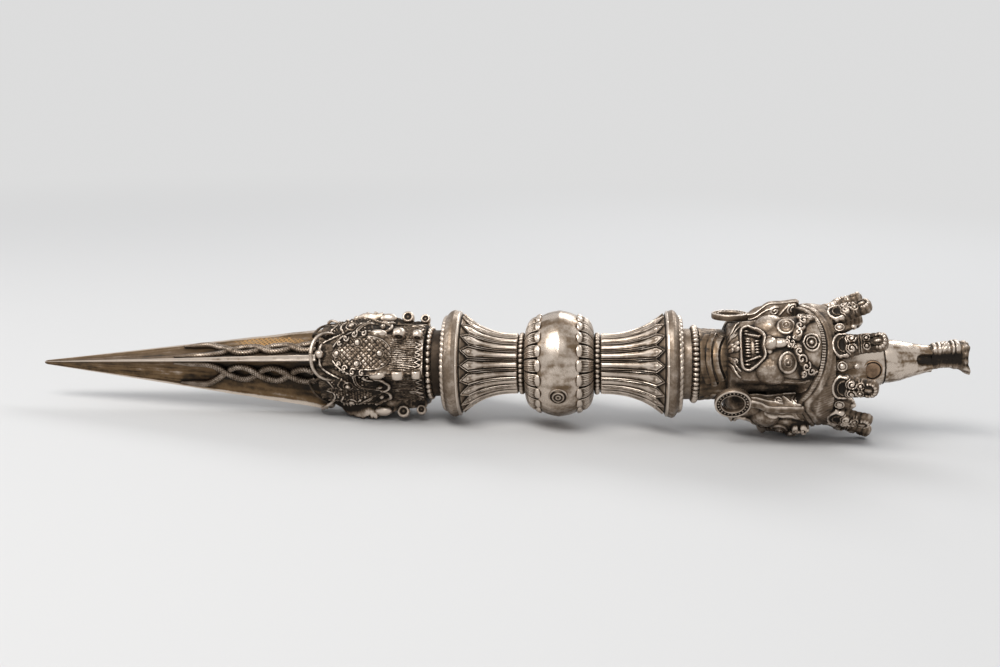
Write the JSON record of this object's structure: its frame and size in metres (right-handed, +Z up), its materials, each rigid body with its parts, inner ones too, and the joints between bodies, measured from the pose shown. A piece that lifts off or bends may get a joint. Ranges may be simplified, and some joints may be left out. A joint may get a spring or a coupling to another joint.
{
  "type": "ritual dagger",
  "caption": "Ritual dagger lying on its side: winged blade with serpents, sea monster guard, flared grip with a round knot, wrathful head with skull crown and topknot.",
  "frame": {"origin": "centre of the bounding box on the surface that the dagger lies on", "axes": "+X along the dagger from the blade's tip to the head's finial, +Z up, -Y towards the picture's viewer"},
  "size_m": [0.3001, 0.0456, 0.0463],
  "materials": {
    "silvered_bronze": "cast, silvered, rubbed bright on the heights, dark brown patina in the hollows",
    "blade_bronze": "cast, polished edges, golden brown patina in the valleys",
    "dark_bronze": "dark patina",
    "gilt_bronze": "worn gilding",
    "iron": "turned, oiled"
  },
  "bodies": {
    "root": {"blade": "blade_bronze", "serpents_front": "silvered_bronze", "serpents_lower": "silvered_bronze", "serpents_rear": "silvered_bronze", "core_rod": "iron", "guard_core": "dark_bronze", "sea_monster_front": "silvered_bronze", "sea_monster_lower": "silvered_bronze", "sea_monster_rear": "silvered_bronze", "guard_bead_ring": "silvered_bronze", "guard_neck": "dark_bronze", "lower_dome": "silvered_bronze", "lower_rope_ring": "silvered_bronze", "lower_grip_flare": "silvered_bronze", "lower_bead_ring": "silvered_bronze", "lower_petal_cup": "silvered_bronze", "knot_bulb": "silvered_bronze", "knot_pin": "silvered_bronze", "upper_petal_cup": "silvered_bronze", "upper_bead_ring": "silvered_bronze", "upper_grip_flare": "silvered_bronze", "upper_dome": "silvered_bronze", "upper_rope_ring": "silvered_bronze", "collar": "silvered_bronze", "throat_bead_ring": "silvered_bronze", "throat": "silvered_bronze", "head_core": "dark_bronze", "face_front": "silvered_bronze", "face_lower": "silvered_bronze", "face_rear": "silvered_bronze", "ear_top": "silvered_bronze", "ear_front": "silvered_bronze", "ear_rear": "silvered_bronze", "earring_top": "silvered_bronze", "earring_front": "silvered_bronze", "earring_rear": "silvered_bronze", "hair_band": "silvered_bronze", "tall_skulls": "silvered_bronze", "short_skulls": "silvered_bronze", "crown_jewels": "silvered_bronze", "topknot": "silvered_bronze", "medallions": "gilt_bronze", "topknot_neck": "silvered_bronze", "finial": "silvered_bronze"}
  },
  "joints": []
}
